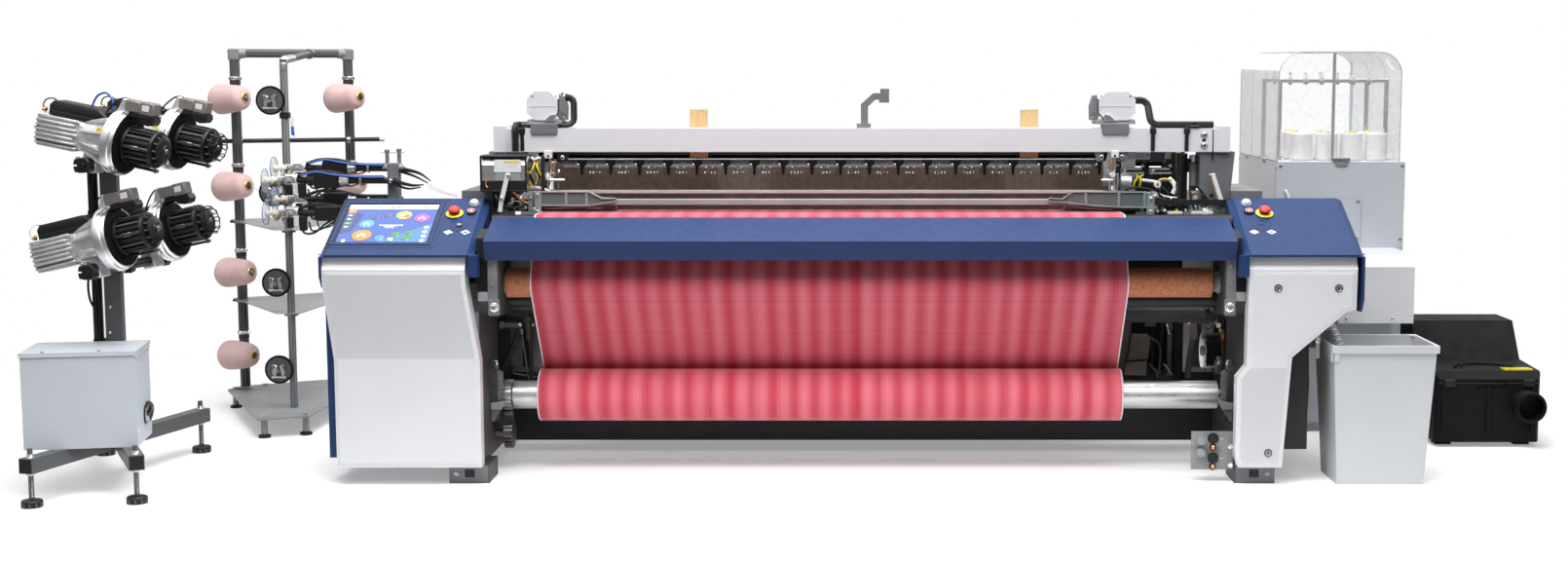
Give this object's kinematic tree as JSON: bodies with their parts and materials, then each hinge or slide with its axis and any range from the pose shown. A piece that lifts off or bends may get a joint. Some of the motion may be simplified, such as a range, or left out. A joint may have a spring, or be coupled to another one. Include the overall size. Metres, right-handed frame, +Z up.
{
  "type": "air-jet power loom",
  "caption": "Wide air-jet power loom with cloth roll, warp beam, reed, healds and consoles, with its weft feeders, yarn creel and selvedge cabinet",
  "frame": {"origin": "Centre of the four floor anchor holes of the side frames, on the floor", "axes": "+X along the cloth's width to the weaver's right, +Y away from the weaver, +Z up"},
  "size_m": [5.4386, 2.2424, 1.515],
  "materials": {
    "white_paint": "satin powder coat",
    "blue_paint": "satin powder coat",
    "grey_casting": "painted casting",
    "dark_steel": "black paint",
    "steel": "turned steel",
    "aluminium": "drawn tube and die casting",
    "cloth": "fine woven cotton",
    "warp_yarn": "parallel cotton yarn",
    "pink_yarn": "wound cotton yarn",
    "white_yarn": "wound thread",
    "grip_rubber": "pimpled grip covering",
    "black_plastic": "moulded plastic",
    "hose_rubber": "smooth rubber",
    "red_plastic": "moulded plastic",
    "white_plastic": "moulded plastic",
    "bin_plastic": "moulded plastic",
    "screen": "display behind a clear sheet",
    "clear_plastic": "clear acrylic sheet",
    "wood": "bare beech",
    "reed_steel": "fine steel dents"
  },
  "bodies": {
    "root": {"beam_blocks": "wood", "clamp_bracket": "grey_casting", "cloth_web": "cloth", "console_left": "blue_paint", "console_right": "blue_paint", "control_cabinet": "white_paint", "cover_left": "white_paint", "cover_right": "white_paint", "creel_frame": "grey_casting", "creel_shelves": "clear_plastic", "cross_beams": "dark_steel", "dust_box": "black_plastic", "end_housings": "blue_paint", "feeder_box": "white_paint", "feeder_stand": "grey_casting", "machine_cables": "hose_rubber", "motor_hood": "white_paint", "rail_cover": "blue_paint", "roll_brackets": "grey_casting", "selvedge_devices": "steel", "selvedge_motors": "white_paint", "side_frame_left": "grey_casting", "side_frame_right": "grey_casting", "spool_cover": "clear_plastic", "temples": "grey_casting", "terminal_plate": "grey_casting", "thread_spools": "white_yarn", "top_beam": "white_paint", "touch_screen": "screen", "warp_sheet": "warp_yarn", "waste_bin": "bin_plastic", "weft_arms": "black_plastic", "weft_feeders": "aluminium", "yarn_packages": "pink_yarn"},
    "take_up": {"take_up_roller": "grip_rubber"},
    "press": {"press_roller": "steel"},
    "roll": {"cloth_roll_core": "aluminium", "cloth_roll": "cloth"},
    "idler": {"roll_idler_gear": "steel"},
    "drive": {"roll_drive_gear": "steel"},
    "beam": {"warp_beam": "aluminium", "wound_warp": "warp_yarn"},
    "pinion": {"let_off_pinion": "steel"},
    "backrest": {"back_roller": "steel"},
    "sley_swing_arm": {"sley": "aluminium", "reed": "reed_steel"},
    "heald_1": {"heald_frame_1": "dark_steel"},
    "heald_2": {"heald_frame_2": "dark_steel"},
    "heald_3": {"heald_frame_3": "dark_steel"},
    "heald_4": {"heald_frame_4": "dark_steel"},
    "winder_lower_front": {"winding_disc_lower_front": "black_plastic"},
    "winder_lower_rear": {"winding_disc_lower_rear": "black_plastic"},
    "winder_upper_front": {"winding_disc_upper_front": "black_plastic"},
    "winder_upper_rear": {"winding_disc_upper_rear": "black_plastic"},
    "emergency_left": {"emergency_stop_left": "red_plastic"},
    "stop_key_left": {"stop_button_left": "red_plastic"},
    "start_key_left": {"start_button_left": "white_plastic"},
    "emergency_right": {"emergency_stop_right": "red_plastic"},
    "stop_key_right": {"stop_button_right": "red_plastic"},
    "start_key_right": {"start_button_right": "white_plastic"}
  },
  "joints": [
    {"name": "take_up_turn", "type": "hinge", "parent": "root", "child": "take_up", "pos_m": [0, -0.7, 0.693], "axis": [1, 0, 0], "continuous": true},
    {"name": "press_turn", "type": "hinge", "parent": "root", "child": "press", "pos_m": [0, -0.64691, 0.62972], "axis": [1, 0, 0], "continuous": true},
    {"name": "roll_turn", "type": "hinge", "parent": "root", "child": "roll", "pos_m": [0, -0.54, 0.27], "axis": [1, 0, 0], "continuous": true},
    {"name": "idler_turn", "type": "hinge", "parent": "root", "child": "idler", "pos_m": [-1.268, -0.54, 0.2], "axis": [1, 0, 0], "continuous": true},
    {"name": "drive_turn", "type": "hinge", "parent": "root", "child": "drive", "pos_m": [-1.268, -0.54, 0.13], "axis": [1, 0, 0], "continuous": true},
    {"name": "beam_turn", "type": "hinge", "parent": "root", "child": "beam", "pos_m": [0, 0.53, 0.48], "axis": [1, 0, 0], "continuous": true},
    {"name": "pinion_turn", "type": "hinge", "parent": "root", "child": "pinion", "pos_m": [-1.248, 0.299, 0.48], "axis": [1, 0, 0], "continuous": true},
    {"name": "backrest_turn", "type": "hinge", "parent": "root", "child": "backrest", "pos_m": [0, 0.795, 0.8641], "axis": [1, 0, 0], "continuous": true},
    {"name": "sley_swing", "type": "hinge", "parent": "root", "child": "sley_swing_arm", "pos_m": [0, -0.37, 0.54], "axis": [1, 0, 0], "range_deg": [-10, 0]},
    {"name": "heald_1_lift", "type": "slide", "parent": "root", "child": "heald_1", "axis": [0, 0, 1], "range_m": [-0.045, 0.045]},
    {"name": "heald_2_lift", "type": "slide", "parent": "root", "child": "heald_2", "axis": [0, 0, 1], "range_m": [-0.045, 0.045]},
    {"name": "heald_3_lift", "type": "slide", "parent": "root", "child": "heald_3", "axis": [0, 0, 1], "range_m": [-0.045, 0.045]},
    {"name": "heald_4_lift", "type": "slide", "parent": "root", "child": "heald_4", "axis": [0, 0, 1], "range_m": [-0.045, 0.045]},
    {"name": "winder_lower_front_turn", "type": "hinge", "parent": "root", "child": "winder_lower_front", "pos_m": [-2.51165, -0.87976, 0.86744], "axis": [0.9596, -0.1692, 0.225], "continuous": true},
    {"name": "winder_lower_rear_turn", "type": "hinge", "parent": "root", "child": "winder_lower_rear", "pos_m": [-2.45087, -0.53508, 0.86744], "axis": [0.9596, -0.1692, 0.225], "continuous": true},
    {"name": "winder_upper_front_turn", "type": "hinge", "parent": "root", "child": "winder_upper_front", "pos_m": [-2.47379, -0.88644, 1.18337], "axis": [0.9683, -0.1707, -0.1822], "continuous": true},
    {"name": "winder_upper_rear_turn", "type": "hinge", "parent": "root", "child": "winder_upper_rear", "pos_m": [-2.41301, -0.54175, 1.18337], "axis": [0.9683, -0.1707, -0.1822], "continuous": true},
    {"name": "emergency_left_push", "type": "slide", "parent": "root", "child": "emergency_left", "axis": [0, 0.445, -0.8955], "range_m": [0, 0.006]},
    {"name": "stop_left_press", "type": "slide", "parent": "root", "child": "stop_key_left", "axis": [0, 0.445, -0.8955], "range_m": [0, 0.0025], "stiffness_N_per_m": 400},
    {"name": "start_left_press", "type": "slide", "parent": "root", "child": "start_key_left", "axis": [0, 0.445, -0.8955], "range_m": [0, 0.0025], "stiffness_N_per_m": 400},
    {"name": "emergency_right_push", "type": "slide", "parent": "root", "child": "emergency_right", "axis": [0, 0.445, -0.8955], "range_m": [0, 0.006]},
    {"name": "stop_right_press", "type": "slide", "parent": "root", "child": "stop_key_right", "axis": [0, 0.445, -0.8955], "range_m": [0, 0.0025], "stiffness_N_per_m": 400},
    {"name": "start_right_press", "type": "slide", "parent": "root", "child": "start_key_right", "axis": [0, 0.445, -0.8955], "range_m": [0, 0.0025], "stiffness_N_per_m": 400}
  ],
  "couplings": [
    {"joint": "press_turn", "follows": "take_up_turn", "ratio": -1.7333},
    {"joint": "idler_turn", "follows": "roll_turn", "ratio": -2.5},
    {"joint": "drive_turn", "follows": "roll_turn", "ratio": 1},
    {"joint": "pinion_turn", "follows": "beam_turn", "ratio": -3.2},
    {"joint": "heald_2_lift", "follows": "heald_1_lift", "ratio": -1},
    {"joint": "heald_3_lift", "follows": "heald_1_lift", "ratio": 1},
    {"joint": "heald_4_lift", "follows": "heald_1_lift", "ratio": -1}
  ]
}
